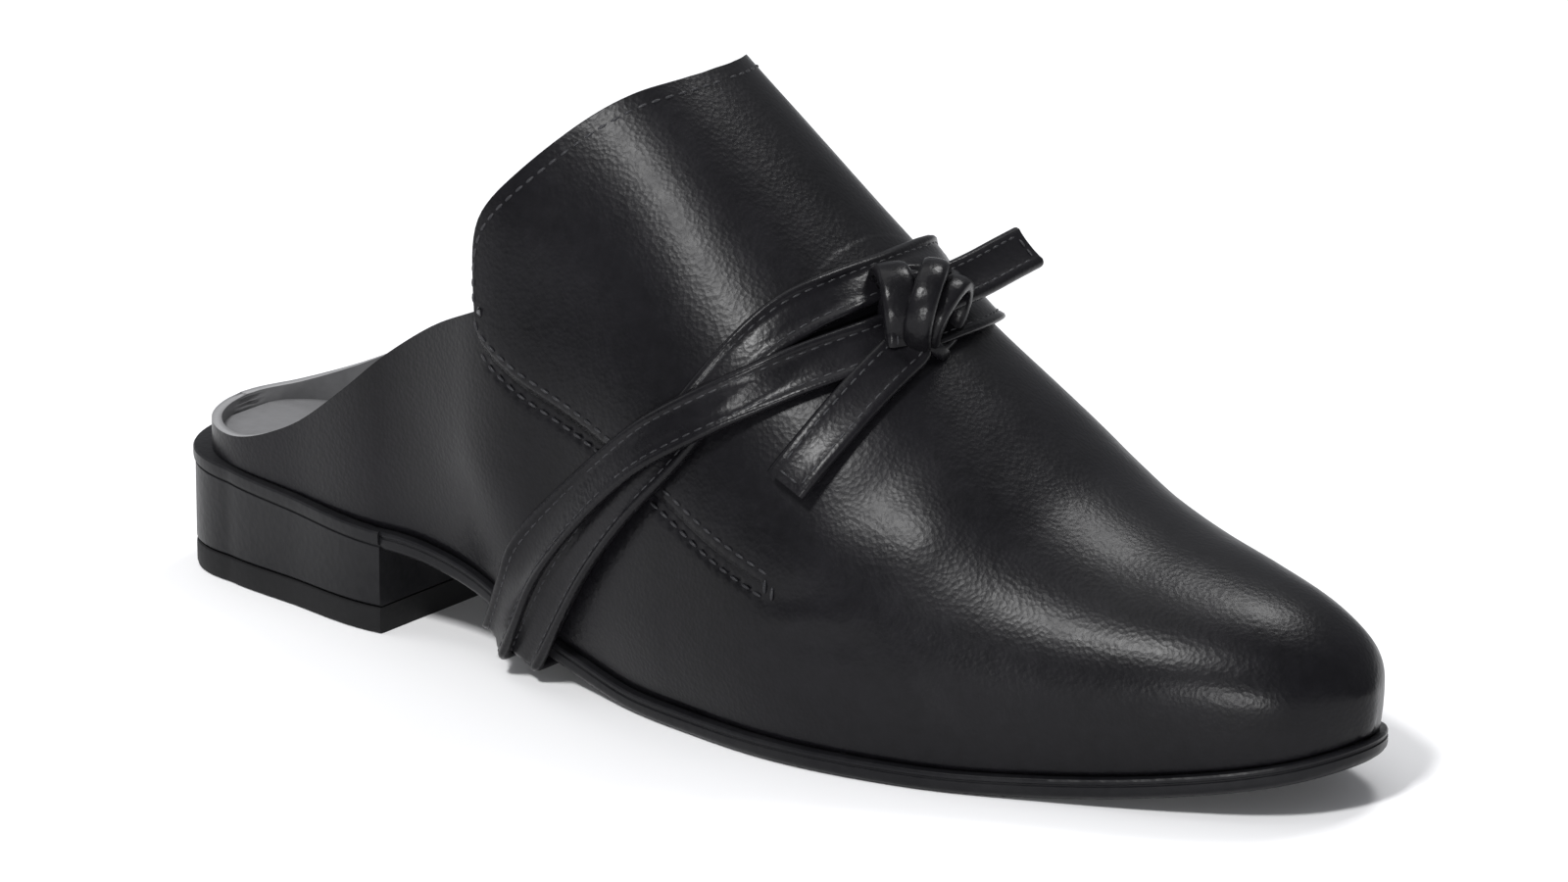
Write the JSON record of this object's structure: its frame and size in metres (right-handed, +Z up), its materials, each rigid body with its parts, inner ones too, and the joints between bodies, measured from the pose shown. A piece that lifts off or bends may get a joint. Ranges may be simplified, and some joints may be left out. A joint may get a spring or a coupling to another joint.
{
  "type": "mule shoe",
  "caption": "Low-heeled pointed mule shoe in smooth leather with a high half-round tongue, a low open back and a flat tie knotted over the instep.",
  "frame": {"origin": "middle of the shoe's length and width on the floor, without the knot and free ends", "axes": "+Y points to the toe, +X to the outer side of the right foot, +Z up from the floor"},
  "size_m": [0.0836, 0.2574, 0.1112],
  "materials": {
    "sole": "black edge-dressed leather sole",
    "heel": "black stacked leather, edge dressed",
    "top_piece": "matte black",
    "upper_leather": "smooth black calf with a soft sheen",
    "sock": "pale grey lining leather",
    "tie_leather": "smooth black folded leather, glossier at its edges"
  },
  "bodies": {
    "root": {"outsole": "sole", "heel": "heel", "heel_top_piece": "top_piece", "upper": "upper_leather", "insole": "sock", "strap_bands": "tie_leather", "tie_knot": "tie_leather", "tie_end_near": "tie_leather", "tie_end_far": "tie_leather"}
  },
  "joints": []
}
